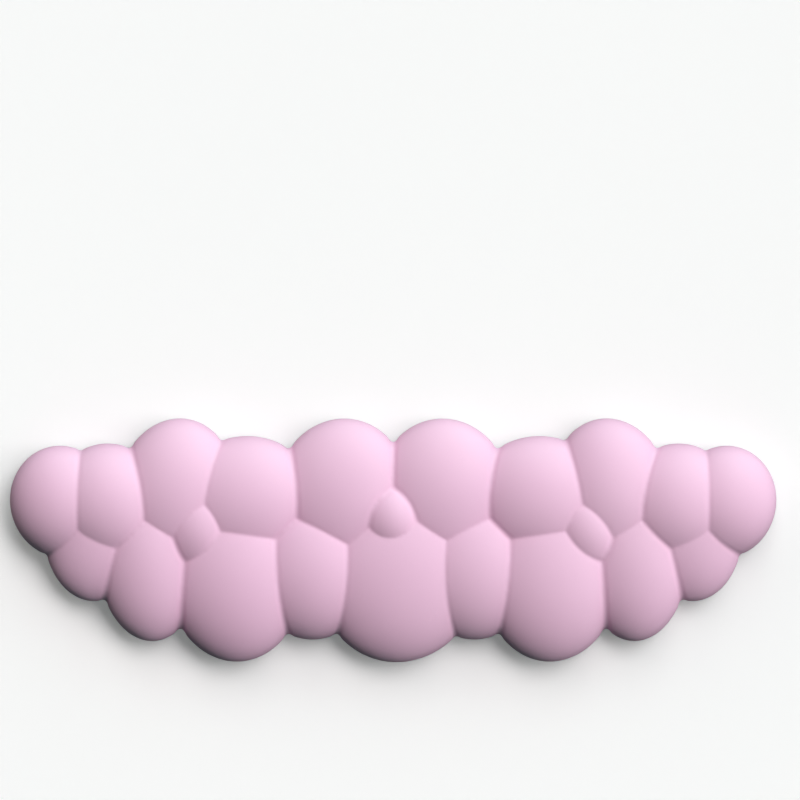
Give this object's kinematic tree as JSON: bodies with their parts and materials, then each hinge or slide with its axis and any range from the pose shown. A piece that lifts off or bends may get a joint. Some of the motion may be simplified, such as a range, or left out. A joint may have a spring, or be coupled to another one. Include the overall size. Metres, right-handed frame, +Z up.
{
  "type": "keyboard wrist rest",
  "caption": "Cloud-shaped keyboard wrist rest: lobed memory foam cushion in a moulded pink skin on a non-slip rubber base.",
  "frame": {"origin": "on the desk under the middle of the rest's outline", "axes": "+X along the rest to the user's right, +Y towards the keyboard, +Z up from the desk"},
  "size_m": [0.3505, 0.1115, 0.025],
  "materials": {
    "skin": "matte",
    "foam": "matte",
    "film": "satin",
    "rubber": "matte"
  },
  "bodies": {
    "root": {"cover_skin": "skin", "foam_core": "foam", "bonding_film": "film", "base_pad": "rubber"}
  },
  "joints": []
}
